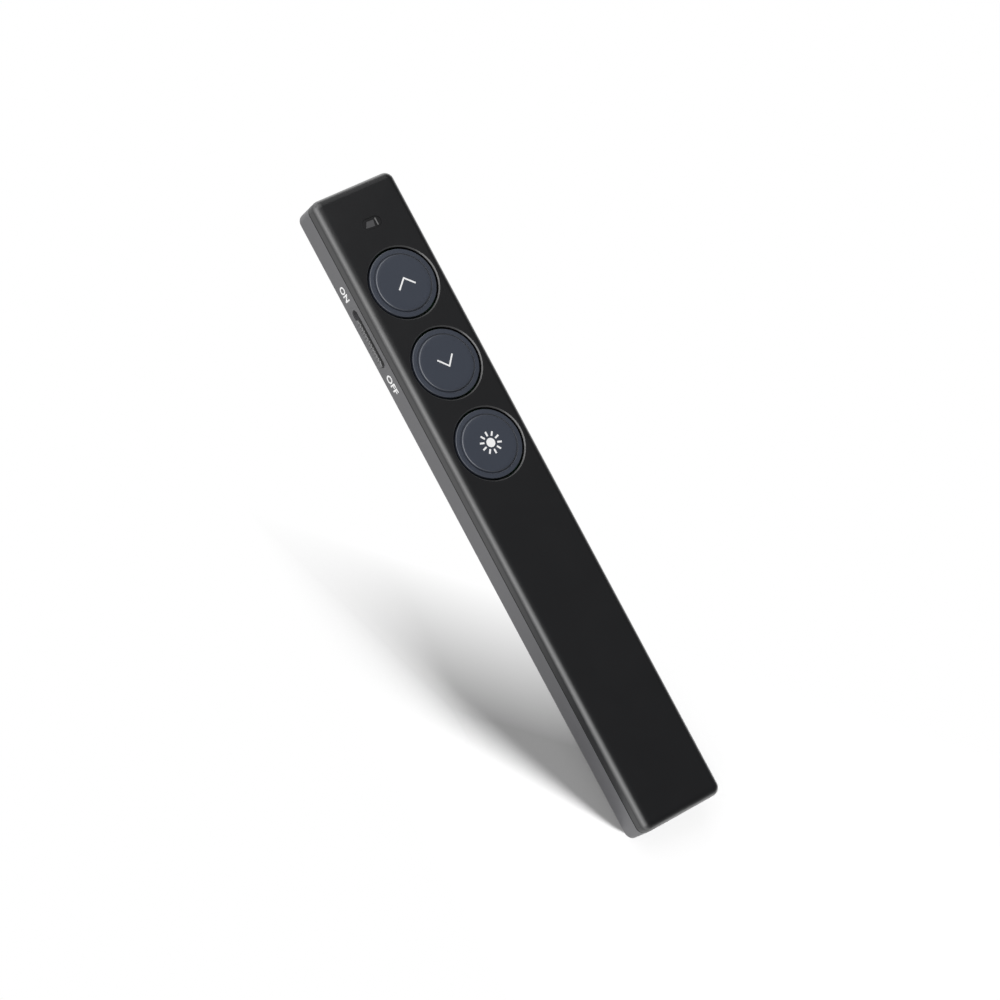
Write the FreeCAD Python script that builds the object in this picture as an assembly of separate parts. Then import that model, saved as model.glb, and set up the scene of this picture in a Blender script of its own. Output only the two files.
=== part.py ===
import FreeCAD
import Part
import os

# A slim wireless presentation clicker, in millimetres.
# It lies on its back. X runs across it, Y along it with the laser end at +Y, and Z up
# through the buttons. The origin is the middle of the underside.

V = FreeCAD.Vector
AXIS_X = V(1, 0, 0)
AXIS_Y = V(0, 1, 0)
AXIS_Z = V(0, 0, 1)

# Making: how far a cutter runs past a face, how deep a piece sinks into the one it is
# joined to, and the hair that keeps a round end from closing up
past = 1.0
overlap = 0.1
sliver = 0.01

# Case, outside
length = 150.0
width = 20.8
height = 10.0
corner_radius = 2.0
top_edge_radius = 1.8
bottom_edge_bevel = 0.6
parting_height = 6.4
parting_chamfer = 0.12

# Case, walls and the lip that joins the two shells
side_wall = 1.4
end_wall = 1.5
floor_wall = 1.5
roof_wall = 1.3
lip_thickness = 0.6
lip_height = 0.7
lip_clearance = 0.1

# Indicator window and the buttons behind it
window_setback = 9.2
window_length = 4.7
window_width = 2.5
window_to_button = 14.4
button_pitch = 19.35

# Button caps and their wells
cap_radius = 7.6
cap_thickness = 1.3
cap_edge_bevel = 0.25
flange_drop = 0.1
groove_radius = 6.5
groove_drop = 0.3
disc_radius = 6.2
disc_rise = 0.25
disc_edge_bevel = 0.14
disc_draft = 0.1
skirt_thickness = 1.0
skirt_depth = 0.9
cap_rib_width = 0.8
cap_rib_depth = 0.4
cap_boss_radius = 1.3
well_clearance = 0.5
well_bevel = 0.25
ear_width = 4.0
ear_thickness = 0.8
ear_clearance = 0.1
ear_guide_width = 0.7
ear_guide_depth = 1.4
ear_guide_reach = 0.8

# Press switches under the buttons
press_travel = 0.35
switch_size = 5.2
switch_height = 1.2
switch_cover = 0.1
plunger_radius = 1.4
plunger_proud = 0.35
plunger_depth = 0.8
running_clearance = 0.05

# Slide switch and its slider in the left flank
slot_centre_setback = 30.6
slot_height_centre = 3.5
slot_length = 13.8
slot_width = 2.26
slider_travel = 2.0
slider_end_clearance = 0.2
slider_side_clearance = 0.12
slider_inset = 0.05
slider_rib_count = 10
slider_groove_width = 0.45
slider_groove_depth = 0.3
slider_land = 0.9
slider_plate_thickness = 0.8
slider_plate_overlap = 0.6
slider_plate_clearance = 0.08
guide_rib_thickness = 0.6
guide_rib_height = 1.1
lever_width = 1.2
lever_height = 1.0
lever_proud = 0.75
lever_depth = 0.6
fork_thickness = 0.8
fork_reach = 0.62
slide_switch_length = 8.6
slide_switch_depth = 3.7
slide_switch_height = 2.8
slide_switch_cover = 0.15
slide_switch_inset = 1.7

# Main circuit board
board_clearance = 3.3
board_thickness = 0.8
board_side_gap = 1.1
board_to_barrel = 0.5
board_post_size = 1.6
board_post_inset = 1.0
board_post_setback = 1.2

# Laser module at the front end
barrel_radius = 2.4
barrel_bore = 1.9
barrel_length = 9.9
barrel_front_gap = 0.3
barrel_floor_gap = 0.1
barrel_lip = 0.8
aperture_radius = 1.4
aperture_flare = 0.6
laser_window_radius = 1.8
laser_window_thickness = 0.6
laser_window_recess = 0.65
lens_thickness = 1.6
diode_flange = 1.2
diode_can_radius = 1.3
diode_can_length = 2.2
diode_setback = 0.6
diode_pin_size = 0.4
diode_pin_reach = 1.3
diode_pin_spread = 1.0
cradle_half_width = 3.8
cradle_thickness = 1.0
cradle_inset = 2.4

# Indicator light pipe and LED
pipe_shoulder = 0.45
pipe_thickness = 0.8
pipe_recess = 0.12
pipe_leg_width = 1.8
pipe_leg_depth = 1.2
led_size = (1.6, 0.8, 0.6)
led_setback = 0.9
led_gap = 0.15

# Case screws, in counterbores of the base
screw_head_radius = 1.6
screw_head_height = 0.9
screw_recess = 0.4
screw_shank_radius = 0.8
screw_length = 5.4
screw_clearance = 0.2
pilot_clearance = 0.05
pilot_spare = 0.3
base_boss_radius = 2.3
top_boss_radius = 1.9
boss_height = 3.2
screw_side_inset = 2.8
front_screw_setback = 7.0
rear_screw_gap = 0.5

# Flat cell, its tape, foam, protection board and leads
cell_length = 36.0
cell_width = 15.0
cell_height = 4.5
cell_edge_radius = 1.2
cell_to_rear_boss = 1.2
tape_thickness = 0.2
tape_inset = 2.0
foam_width = 8.0
foam_inset = 4.0
protection_length = 2.4
protection_width = 12.0
protection_height = 2.6
lead_radius = 0.35
lead_inset = 1.4
lead_gap = 1.5
lead_reach = 1.6

# Charging socket in the right flank
socket_setback = 62.25
socket_mouth_width = 8.94
socket_mouth_height = 3.2
socket_depth = 7.3
socket_wall = 0.3
socket_mouth_inset = 0.8
socket_opening_clearance = 0.2
tongue_width = 6.7
tongue_thickness = 0.7
tongue_length = 5.2

# Parts soldered to the board: (across, along, up)
controller_size = (5.0, 5.0, 0.85)
controller_setback = 44.0
crystal_size = (2.0, 1.6, 0.5)
crystal_gap = 1.0
charger_size = (3.0, 3.0, 0.9)
charger_gap = 1.5
antenna_size = (1.6, 3.2, 0.5)
passive_size = (0.8, 1.6, 0.45)
passive_pitch = 2.4
passive_count = 5
passive_inset = 2.7

# USB receiver in its dock at the rear end
receiver_width = 14.0
receiver_height = 5.8
receiver_length = 6.6
receiver_inset = 0.3
receiver_edge = 0.5
receiver_clearance = 0.1
receiver_rib_width = 0.4
receiver_rib_length = 5.0
receiver_rib_depth = 0.4
receiver_rib_pitch = 1.0
receiver_rib_count = 3
plug_width = 12.0
plug_height = 4.5
plug_length = 12.0
plug_wall = 0.3
plug_window = 2.3
plug_window_spread = 2.9
plug_window_setback = 5.5
plug_tongue_thickness = 1.9
plug_tongue_inset = 0.6
contact_count = 4
contact_width = 1.0
contact_pitch = 2.3
contact_thickness = 0.12
contact_length = 7.0
dock_wall = 0.9
dock_stop = 0.9
dock_rail_width = 0.8
dock_rail_inset = 2.5
notch_radius = 4.5

# Places that follow from the sizes
front = length / 2
rear = -length / 2
inner_x = width / 2 - side_wall
inner_front = front - end_wall
inner_rear = rear + end_wall
roof_underside = height - roof_wall

window_y = front - window_setback
first_button_y = window_y - window_to_button
button_ys = [first_button_y - i * button_pitch for i in range(3)]
well_radius = cap_radius + well_clearance
cap_underside = height - cap_thickness
skirt_bottom = cap_underside - skirt_depth
ear_reach = inner_x - ear_clearance

board_bottom = floor_wall + board_clearance
board_top = board_bottom + board_thickness
board_half_width = inner_x - board_side_gap
switch_top = board_top + switch_height + switch_cover
plunger_top = switch_top + plunger_proud

barrel_front = inner_front - barrel_front_gap
barrel_rear = barrel_front - barrel_length
laser_z = floor_wall + barrel_floor_gap + barrel_radius

receiver_z = floor_wall + receiver_clearance + receiver_height / 2
receiver_rear = rear + receiver_inset
receiver_front = receiver_rear + receiver_length
plug_front = receiver_front + plug_length
dock_half_width = receiver_width / 2 + receiver_clearance
dock_top = receiver_z + receiver_height / 2 + receiver_clearance
plug_half_width = plug_width / 2 + receiver_clearance
dock_step = receiver_front + receiver_clearance
dock_end = plug_front + receiver_clearance

screw_x = inner_x - screw_side_inset
front_screw_y = front - front_screw_setback
rear_screw_y = dock_end + dock_stop + rear_screw_gap + base_boss_radius
screw_spots = [(side * screw_x, y) for y in (front_screw_y, rear_screw_y) for side in (-1, 1)]
screw_seat = screw_recess + screw_head_height
screw_tip = screw_seat + screw_length

cell_rear = rear_screw_y + base_boss_radius + cell_to_rear_boss
cell_front = cell_rear + cell_length
cell_bottom = floor_wall + tape_thickness
cell_top = cell_bottom + cell_height
protection_front = cell_front + protection_length

board_front = barrel_rear - board_to_barrel
board_rear = protection_front + lead_gap
board_post_x = board_half_width - board_post_inset
board_post_ys = [board_front - board_post_setback, board_rear + board_post_setback]

slot_y = front - slot_centre_setback
slider_length = slot_length - slider_travel - 2 * slider_end_clearance
slider_y = slot_y - slider_travel / 2
slider_height = slot_width - 2 * slider_side_clearance
plate_outer_x = -inner_x + slider_plate_clearance
plate_inner_x = plate_outer_x + slider_plate_thickness
plate_half_length = slot_length / 2 + slider_travel / 2 + slider_plate_overlap
slide_switch_x = -inner_x + slide_switch_inset

socket_y = front - socket_setback
socket_z = board_bottom - socket_mouth_height / 2
socket_mouth_x = width / 2 - socket_mouth_inset


def block(x, y, z):
    """A box between a low and a high value on each axis."""
    size = (x[1] - x[0], y[1] - y[0], z[1] - z[0])
    return Part.makeBox(*size, V(x[0], y[0], z[0]))


def centred(middle, size):
    """A box about a middle point."""
    low = [m - s / 2 for m, s in zip(middle, size)]
    return Part.makeBox(*size, V(*low))


def rounded_block(x, y, z, radius, axis=AXIS_Z):
    """A box whose four edges along one axis are rounded."""
    box = block(x, y, z)
    edges = [e for e in box.Edges if abs(e.tangentAt(e.FirstParameter).dot(axis)) > 0.9]
    return box.makeFillet(radius, edges)


def rod(base, radius, reach, axis=AXIS_Z):
    """A round bar from a base point along an axis."""
    return Part.makeCylinder(radius, reach, V(*base), axis)


def edges_at(shape, z):
    """The edges that lie flat at one height."""
    found = []
    for edge in shape.Edges:
        box = edge.BoundBox
        if abs(box.ZMin - z) < 1e-6 and abs(box.ZMax - z) < 1e-6:
            found.append(edge)
    return found


def revolved(points, centre):
    """A solid turned about a vertical axis from its (radius, height) corners."""
    corners = [V(radius, 0, z) for radius, z in points]
    face = Part.Face(Part.makePolygon(corners + corners[:1]))
    solid = face.revolve(V(0, 0, 0), AXIS_Z, 360)
    solid.translate(V(*centre, 0))
    return solid


def case_block(z_low, z_high, inset_x=0.0, inset_y=0.0, radius=corner_radius):
    """A slab with the plan outline of the case, or a rounded one that is inset from it."""
    x = width / 2 - inset_x
    y = length / 2 - inset_y
    return rounded_block((-x, x), (-y, y), (z_low, z_high), radius)


def cavity(z_low, z_high):
    """The hollow inside the side and end walls."""
    return block((-inner_x, inner_x), (inner_rear, inner_front), (z_low, z_high))


def lip_ring(thickness, reach):
    """The ring that stands on the base's inner wall edge, or the groove for it."""
    outer = case_block(
        parting_height,
        parting_height + reach,
        side_wall - thickness,
        end_wall - thickness,
        thickness,
    )
    return outer.cut(cavity(parting_height - past, parting_height + reach + past))


def well(y):
    """The round hole for a button, with a softened mouth."""
    points = [
        (0, roof_underside - past),
        (well_radius, roof_underside - past),
        (well_radius, height - well_bevel),
        (well_radius + well_bevel, height),
        (well_radius + well_bevel, height + past),
        (0, height + past),
    ]
    return revolved(points, (0, y))


def window_bar(clearance, z_low, z_high):
    """The stadium of the indicator window, less a clearance all round."""
    x = window_length / 2 - clearance
    y = window_width / 2 - clearance
    span = (window_y - y, window_y + y)
    return rounded_block((-x, x), span, (z_low, z_high), y - sliver)


def dock_mouth(z_low, z_high):
    """The opening in the rear wall that the receiver slides through."""
    x = (-dock_half_width, dock_half_width)
    return block(x, (rear - past, inner_rear + sliver), (z_low, z_high))


def ear_guides(y):
    """Ribs under the roof that keep a button's ears, and so its mark, straight."""
    solids = []
    for side in (-1, 1):
        for end in (-1, 1):
            near = y + end * (ear_width / 2 + ear_clearance)
            far = near + end * ear_guide_width
            xs = sorted((side * (inner_x + overlap), side * (inner_x - ear_guide_reach)))
            z = (roof_underside - ear_guide_depth, roof_underside + overlap)
            solids.append(block(xs, sorted((near, far)), z))
    return solids


def cradle(y, z_low, z_high):
    """A rib across the case that the laser barrel lies in."""
    span = (y - cradle_thickness / 2, y + cradle_thickness / 2)
    rib = block((-cradle_half_width, cradle_half_width), span, (z_low, z_high))
    seat = rod((0, span[0] - past, laser_z), barrel_radius + running_clearance,
               cradle_thickness + 2 * past, AXIS_Y)
    return rib.cut(seat)


def board_posts(z_low, z_high):
    """Four square posts that hold the board from one side."""
    half = board_post_size / 2
    solids = []
    for y in board_post_ys:
        for side in (-1, 1):
            x = side * board_post_x
            solids.append(block((x - half, x + half), (y - half, y + half), (z_low, z_high)))
    return solids


def top_shell():
    """Upper half: crowned edges, three wells, window slot, bosses and hold-down posts."""
    outside = case_block(parting_height, height)
    outside = outside.makeFillet(top_edge_radius, edges_at(outside, height))
    outside = outside.makeChamfer(parting_chamfer, edges_at(outside, parting_height))
    shell = outside.cut(cavity(parting_height - past, roof_underside))
    shell = shell.cut(lip_ring(lip_thickness + lip_clearance, lip_height + lip_clearance))

    inner = [rod((x, y, boss_height), top_boss_radius, roof_underside - boss_height + overlap)
             for x, y in screw_spots]
    inner += board_posts(board_top, roof_underside + overlap)
    for y in button_ys:
        inner += ear_guides(y)
    for side in (-1, 1):
        x = side * (dock_half_width - dock_rail_inset)
        xs = (x - dock_rail_width / 2, x + dock_rail_width / 2)
        ys = (inner_rear - overlap, dock_end)
        inner.append(block(xs, ys, (dock_top, roof_underside + overlap)))
    inner.append(cradle(barrel_front - cradle_inset, laser_z, roof_underside + overlap))
    shell = shell.fuse(inner)

    cuts = [well(y) for y in button_ys]
    cuts.append(window_bar(0, roof_underside - past, height + past))
    cuts.append(dock_mouth(parting_height - past, dock_top))
    for x, y in screw_spots:
        pilot = screw_shank_radius + pilot_clearance
        cuts.append(rod((x, y, boss_height - past), pilot, screw_tip - boss_height + past + pilot_spare))
    return shell.cut(cuts).removeSplitter()


def slider_slot():
    """The slot in the left flank, with round ends."""
    y = (slot_y - slot_length / 2, slot_y + slot_length / 2)
    z = (slot_height_centre - slot_width / 2, slot_height_centre + slot_width / 2)
    x = (-width / 2 - past, -inner_x + sliver)
    return rounded_block(x, y, z, slot_width / 2 - sliver, AXIS_X)


def socket_opening():
    """The opening in the right flank for the charging plug."""
    y = socket_mouth_width / 2 + socket_opening_clearance
    z = socket_mouth_height / 2 + socket_opening_clearance
    x = (inner_x - sliver, width / 2 + past)
    return rounded_block(x, (socket_y - y, socket_y + y), (socket_z - z, socket_z + z), z - sliver, AXIS_X)


def dock_ribs():
    """Walls on the floor that guide the receiver, its plug, and stop it."""
    z = (floor_wall - overlap, parting_height)
    outer_x = dock_half_width + dock_wall
    ribs = []
    for side in (-1, 1):
        wide = sorted((side * dock_half_width, side * outer_x))
        narrow = sorted((side * plug_half_width, side * outer_x))
        ribs.append(block(wide, (inner_rear - overlap, dock_step), z))
        ribs.append(block(narrow, (dock_step, dock_end), z))
    ribs.append(block((-outer_x, outer_x), (dock_end, dock_end + dock_stop), z))
    return ribs


def base_shell():
    """Lower half: floor, lip, screw bosses, board posts, slot, dock and laser aperture."""
    outside = case_block(0, parting_height)
    outside = outside.makeChamfer(bottom_edge_bevel, edges_at(outside, 0))
    outside = outside.makeChamfer(parting_chamfer, edges_at(outside, parting_height))
    shell = outside.cut(cavity(floor_wall, parting_height + past))
    shell = shell.fuse(lip_ring(lip_thickness, lip_height))

    inner = dock_ribs()
    for x, y in screw_spots:
        inner.append(rod((x, y, floor_wall - overlap), base_boss_radius, boss_height - floor_wall + overlap))
    inner += board_posts(floor_wall - overlap, board_bottom)
    guide_x = (plate_inner_x + slider_plate_clearance, plate_inner_x + slider_plate_clearance
               + guide_rib_thickness)
    guide_y = (slot_y - plate_half_length, slot_y + plate_half_length)
    inner.append(block(guide_x, guide_y, (floor_wall - overlap, floor_wall + guide_rib_height)))
    inner.append(cradle(barrel_front - cradle_inset, floor_wall - overlap, laser_z))
    inner.append(cradle(barrel_rear + cradle_inset, floor_wall - overlap, laser_z))
    shell = shell.fuse(inner)

    cuts = [slider_slot(), socket_opening(), dock_mouth(floor_wall, height)]
    cuts.append(rod((0, rear, -past), notch_radius, floor_wall + past))
    cuts.append(rod((0, inner_front - past, laser_z), aperture_radius, end_wall + 2, AXIS_Y))
    flare = Part.makeCone(aperture_radius, aperture_radius + aperture_flare, aperture_flare,
                          V(0, front - aperture_flare, laser_z), AXIS_Y)
    cuts.append(flare)
    recess = laser_window_radius + running_clearance
    cuts.append(rod((0, inner_front - past, laser_z), recess, past + laser_window_recess, AXIS_Y))
    for x, y in screw_spots:
        cuts.append(rod((x, y, -past), screw_head_radius + screw_clearance, screw_seat + past))
        cuts.append(rod((x, y, 0), screw_shank_radius + screw_clearance, boss_height + past))
    return shell.cut(cuts).removeSplitter()


def button_cap(y):
    """A cap with a flange ring, a groove, a raised disc, and ears that trap it."""
    disc_top = height + disc_rise
    disc_side = disc_radius + disc_draft
    flange_top = height - flange_drop
    points = [
        (0, cap_underside),
        (cap_radius - skirt_thickness, cap_underside),
        (cap_radius - skirt_thickness, skirt_bottom),
        (cap_radius, skirt_bottom),
        (cap_radius, flange_top - cap_edge_bevel),
        (cap_radius - cap_edge_bevel, flange_top),
        (groove_radius, height - groove_drop),
        (disc_side, disc_top - disc_edge_bevel),
        (disc_side - disc_edge_bevel, disc_top),
        (0, disc_top),
    ]
    cap = revolved(points, (0, y))
    ear_z = (roof_underside - ear_clearance - ear_thickness, roof_underside - ear_clearance)
    ears = block((-ear_reach, ear_reach), (y - ear_width / 2, y + ear_width / 2), ear_z)
    ears = ears.cut(rod((0, y, 0), cap_radius - skirt_thickness / 2, height))
    boss = rod((0, y, plunger_top), cap_boss_radius, cap_underside - plunger_top + overlap)
    rib_z = (cap_underside - cap_rib_depth, cap_underside + overlap)
    rib_reach = cap_radius - skirt_thickness / 2
    half_rib = cap_rib_width / 2
    across = block((-rib_reach, rib_reach), (y - half_rib, y + half_rib), rib_z)
    along = block((-half_rib, half_rib), (y - rib_reach, y + rib_reach), rib_z)
    return cap.fuse([ears, boss, across, along]).removeSplitter()


def switch_plunger(y):
    """The pin of a press switch, which its cap rests on."""
    bottom = board_top + switch_height - plunger_depth
    return rod((0, y, bottom), plunger_radius, plunger_top - bottom)


def switch_plate(y, low, high):
    """A square block over the middle of one press switch."""
    half = switch_size / 2
    return block((-half, half), (y - half, y + half), (low, high))


def switch_bodies():
    """Moulded bases of the three press switches."""
    solids = []
    top = board_top + switch_height
    bottom = top - plunger_depth - press_travel - running_clearance
    for y in button_ys:
        bore = rod((0, y, bottom), plunger_radius + running_clearance, switch_height)
        solids.append(switch_plate(y, board_top, top).cut(bore))
    return Part.makeCompound(solids)


def switch_covers():
    """Sheet metal covers of the three press switches."""
    solids = []
    low = board_top + switch_height
    for y in button_ys:
        hole = rod((0, y, board_top), plunger_radius + running_clearance, switch_top)
        solids.append(switch_plate(y, low, switch_top).cut(hole))
    return Part.makeCompound(solids)


def power_slider():
    """Ribbed thumb piece, the plate behind the wall, and a fork for the lever."""
    knob_x = (-width / 2 + slider_inset, plate_outer_x + overlap)
    y = (slider_y - slider_length / 2, slider_y + slider_length / 2)
    z = (slot_height_centre - slider_height / 2, slot_height_centre + slider_height / 2)
    knob = rounded_block(knob_x, y, z, slider_height / 2 - sliver, AXIS_X)
    ribbed = slider_length - 2 * slider_land
    pitch = ribbed / slider_rib_count
    grooves = []
    for i in range(slider_rib_count):
        groove_y = y[0] + slider_land + pitch * (i + 0.5)
        middle = (knob_x[0], groove_y, slot_height_centre)
        grooves.append(centred(middle, (2 * slider_groove_depth, slider_groove_width, slot_width)))
    knob = knob.cut(grooves)

    half_plate = slot_width / 2 + slider_plate_overlap
    plate = block(
        (plate_outer_x, plate_inner_x),
        (slider_y - plate_half_length, slider_y + plate_half_length),
        (slot_height_centre - half_plate, slot_height_centre + half_plate),
    )
    prongs = []
    for end in (-1, 1):
        near = slider_y + end * (lever_width / 2 + running_clearance)
        ys = sorted((near, near + end * fork_thickness))
        zs = (slot_height_centre - lever_height / 2, slot_height_centre + lever_height / 2)
        prongs.append(block((plate_inner_x - overlap, plate_inner_x + fork_reach), ys, zs))
    return knob.fuse([plate] + prongs).removeSplitter()


def slide_switch_lever():
    """The lever of the slide switch, held in the slider's fork."""
    return block(
        (slide_switch_x - lever_proud, slide_switch_x + lever_depth),
        (slider_y - lever_width / 2, slider_y + lever_width / 2),
        (slot_height_centre - lever_height / 2, slot_height_centre + lever_height / 2),
    )


def slide_switch_body():
    """Moulded base of the slide switch, hung under the board."""
    x = (slide_switch_x, slide_switch_x + slide_switch_depth)
    y = (slot_y - slide_switch_length / 2, slot_y + slide_switch_length / 2)
    body = block(x, y, (board_bottom - slide_switch_height, board_bottom))
    half_y = lever_width / 2 + slider_travel / 2 + running_clearance
    half_z = lever_height / 2 + running_clearance
    track = block(
        (slide_switch_x - past, slide_switch_x + lever_depth + running_clearance),
        (slot_y - half_y, slot_y + half_y),
        (slot_height_centre - half_z, slot_height_centre + half_z),
    )
    return body.cut(track)


def slide_switch_cover_plate():
    """Sheet metal cover under the slide switch."""
    top = board_bottom - slide_switch_height
    x = (slide_switch_x, slide_switch_x + slide_switch_depth)
    y = (slot_y - slide_switch_length / 2, slot_y + slide_switch_length / 2)
    return block(x, y, (top - slide_switch_cover, top))


def main_board():
    """The circuit board between the posts of the two shells."""
    x = (-board_half_width, board_half_width)
    return block(x, (board_rear, board_front), (board_bottom, board_top))


def light_pipe():
    """Clear bar in the window, with a shoulder under the roof and a leg over the LED."""
    bar = window_bar(running_clearance, roof_underside - overlap, height - pipe_recess)
    half_x = window_length / 2 + pipe_shoulder
    leg_y = board_front - led_setback
    leg = (leg_y - pipe_leg_depth / 2, leg_y + pipe_leg_depth / 2)
    front_edge = window_y + window_width / 2 + pipe_shoulder
    plate = block((-half_x, half_x), (leg[0], front_edge), (roof_underside - pipe_thickness, roof_underside))
    leg_bottom = board_top + led_size[2] + led_gap
    half_leg = pipe_leg_width / 2
    stem = block((-half_leg, half_leg), leg, (leg_bottom, roof_underside - pipe_thickness / 2))
    return bar.fuse([plate, stem]).removeSplitter()


def status_led():
    """The small LED under the light pipe's leg."""
    middle = (0, board_front - led_setback, board_top + led_size[2] / 2)
    return centred(middle, led_size)


def laser_window():
    """Clear disc behind the aperture in the front wall."""
    y = inner_front + laser_window_recess - laser_window_thickness
    return rod((0, y, laser_z), laser_window_radius, laser_window_thickness, AXIS_Y)


def laser_barrel():
    """Turned barrel with a bore and a lip that stops the lens."""
    barrel = rod((0, barrel_rear, laser_z), barrel_radius, barrel_length, AXIS_Y)
    bore = rod((0, barrel_rear - past, laser_z), barrel_bore, barrel_length + past - barrel_lip, AXIS_Y)
    eye = rod((0, barrel_rear, laser_z), aperture_radius, barrel_length + past, AXIS_Y)
    return barrel.cut([bore, eye])


def laser_lens():
    """Collimating lens, a thick disc against the barrel's lip."""
    seat = barrel_front - barrel_lip
    radius = barrel_bore - running_clearance
    return rod((0, seat - lens_thickness, laser_z), radius, lens_thickness, AXIS_Y)


def laser_diode():
    """Diode in a flanged metal can, pressed into the back of the barrel."""
    rear_face = barrel_rear + diode_setback
    flange = rod((0, rear_face, laser_z), barrel_bore - running_clearance, diode_flange, AXIS_Y)
    can_base = rear_face + diode_flange - overlap
    can = rod((0, can_base, laser_z), diode_can_radius, diode_can_length + overlap, AXIS_Y)
    return flange.fuse(can).removeSplitter()


def laser_pins():
    """Two flat pins that run from the diode to the lower face of the board."""
    y = (board_front - diode_pin_reach, barrel_rear + diode_setback)
    z = (board_bottom - diode_pin_size, board_bottom)
    solids = []
    for side in (-1, 1):
        x = side * diode_pin_spread
        solids.append(block((x - diode_pin_size / 2, x + diode_pin_size / 2), y, z))
    return Part.makeCompound(solids)


def case_screws():
    """Four pan head screws that pull the two shells together."""
    solids = []
    for x, y in screw_spots:
        head = rod((x, y, screw_recess), screw_head_radius, screw_head_height)
        shank = rod((x, y, screw_seat - overlap), screw_shank_radius, screw_length + overlap)
        solids.append(head.fuse(shank).removeSplitter())
    return Part.makeCompound(solids)


def battery_cell():
    """Flat pouch cell with soft long edges."""
    x = (-cell_width / 2, cell_width / 2)
    return rounded_block(x, (cell_rear, cell_front), (cell_bottom, cell_top), cell_edge_radius, AXIS_Y)


def battery_tape():
    """Double-sided tape between the cell and the floor."""
    half = cell_width / 2 - tape_inset
    y = (cell_rear + tape_inset, cell_front - tape_inset)
    return block((-half, half), y, (floor_wall, cell_bottom))


def battery_foam():
    """Foam strip between the cell and the roof."""
    y = (cell_rear + foam_inset, cell_front - foam_inset)
    return block((-foam_width / 2, foam_width / 2), y, (cell_top, roof_underside))


def protection_board():
    """The cell's own protection board, on its front end."""
    middle = (0, cell_front + protection_length / 2, (cell_bottom + cell_top) / 2)
    return centred(middle, (protection_width, protection_length, protection_height))


def battery_leads():
    """Two short leads from the protection board to the lower face of the main board."""
    solids = []
    reach = board_rear + lead_reach - protection_front
    for side in (-1, 1):
        x = side * (protection_width / 2 - lead_inset)
        base = (x, protection_front, board_bottom - lead_radius)
        solids.append(rod(base, lead_radius, reach, AXIS_Y))
    return Part.makeCompound(solids)


def socket_tube(inset, x_low, x_high):
    """A bar with the round-ended section of the charging socket."""
    y = socket_mouth_width / 2 - inset
    z = socket_mouth_height / 2 - inset
    return rounded_block(
        (x_low, x_high), (socket_y - y, socket_y + y), (socket_z - z, socket_z + z), z - sliver, AXIS_X
    )


def charging_socket_shell():
    """Round-ended metal tube, hung under the board, open at the right flank."""
    back = socket_mouth_x - socket_depth
    tube = socket_tube(0, back, socket_mouth_x)
    return tube.cut(socket_tube(socket_wall, back - past, socket_mouth_x + past))


def charging_socket_tongue():
    """Moulded block at the back of the socket with the tongue that the plug goes over."""
    back = socket_mouth_x - socket_depth
    root = socket_tube(socket_wall, back, socket_mouth_x - tongue_length - socket_mouth_inset)
    x = (back, socket_mouth_x - socket_mouth_inset)
    half = tongue_width / 2
    z = (socket_z - tongue_thickness / 2, socket_z + tongue_thickness / 2)
    return root.fuse(block(x, (socket_y - half, socket_y + half), z)).removeSplitter()


def under_board(size, x, y):
    """A soldered part on the lower face of the board."""
    return centred((x, y, board_bottom - size[2] / 2), size)


def radio_controller():
    """The radio controller chip, under the board."""
    return under_board(controller_size, 0, front - controller_setback)


def crystal():
    """The crystal beside the radio controller."""
    y = front - controller_setback - controller_size[1] / 2 - crystal_gap - crystal_size[1] / 2
    return under_board(crystal_size, 0, y)


def charging_controller():
    """The charging chip, behind the socket."""
    x = socket_mouth_x - socket_depth - charger_gap - charger_size[0] / 2
    return under_board(charger_size, x, socket_y)


def chip_antenna():
    """Ceramic antenna on top of the board, between the first two buttons."""
    y = (button_ys[0] + button_ys[1]) / 2
    return centred((-board_post_x, y, board_top + antenna_size[2] / 2), antenna_size)


def passives():
    """A row of resistors and capacitors under the board."""
    solids = []
    first = front - controller_setback - (passive_count - 1) * passive_pitch / 2
    for i in range(passive_count):
        x = board_half_width - passive_inset
        solids.append(under_board(passive_size, x, first + i * passive_pitch))
    return Part.makeCompound(solids)


def receiver_body():
    """Moulded grip of the receiver, with ridges for a fingernail."""
    half = receiver_width / 2
    z = (receiver_z - receiver_height / 2, receiver_z + receiver_height / 2)
    body = rounded_block((-half, half), (receiver_rear, receiver_front), z, receiver_edge, AXIS_Y)
    ridges = []
    for i in range(receiver_rib_count):
        y = receiver_rear + receiver_rib_pitch * (i + 0.5)
        middle = (0, y, z[0])
        ridges.append(centred(middle, (receiver_rib_length, receiver_rib_width, 2 * receiver_rib_depth)))
    return body.fuse(ridges).removeSplitter()


def receiver_plug_shell():
    """Bright metal plug shell with its two latch windows."""
    half = plug_width / 2
    half_z = plug_height / 2
    y = (receiver_front, plug_front)
    outer = block((-half, half), y, (receiver_z - half_z, receiver_z + half_z))
    inner = block(
        (-half + plug_wall, half - plug_wall),
        (receiver_front - past, plug_front + past),
        (receiver_z - half_z + plug_wall, receiver_z + half_z - plug_wall),
    )
    windows = []
    for side in (-1, 1):
        middle = (side * plug_window_spread, plug_front - plug_window_setback, receiver_z)
        windows.append(centred(middle, (plug_window, plug_window, 2 * plug_height)))
    return outer.cut([inner] + windows)


def receiver_tongue():
    """Moulded tongue that carries the contacts in the lower half of the plug."""
    half = plug_width / 2 - plug_wall
    low = receiver_z - plug_height / 2 + plug_wall
    y = (receiver_front, plug_front - plug_tongue_inset)
    return block((-half, half), y, (low, low + plug_tongue_thickness))


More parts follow.
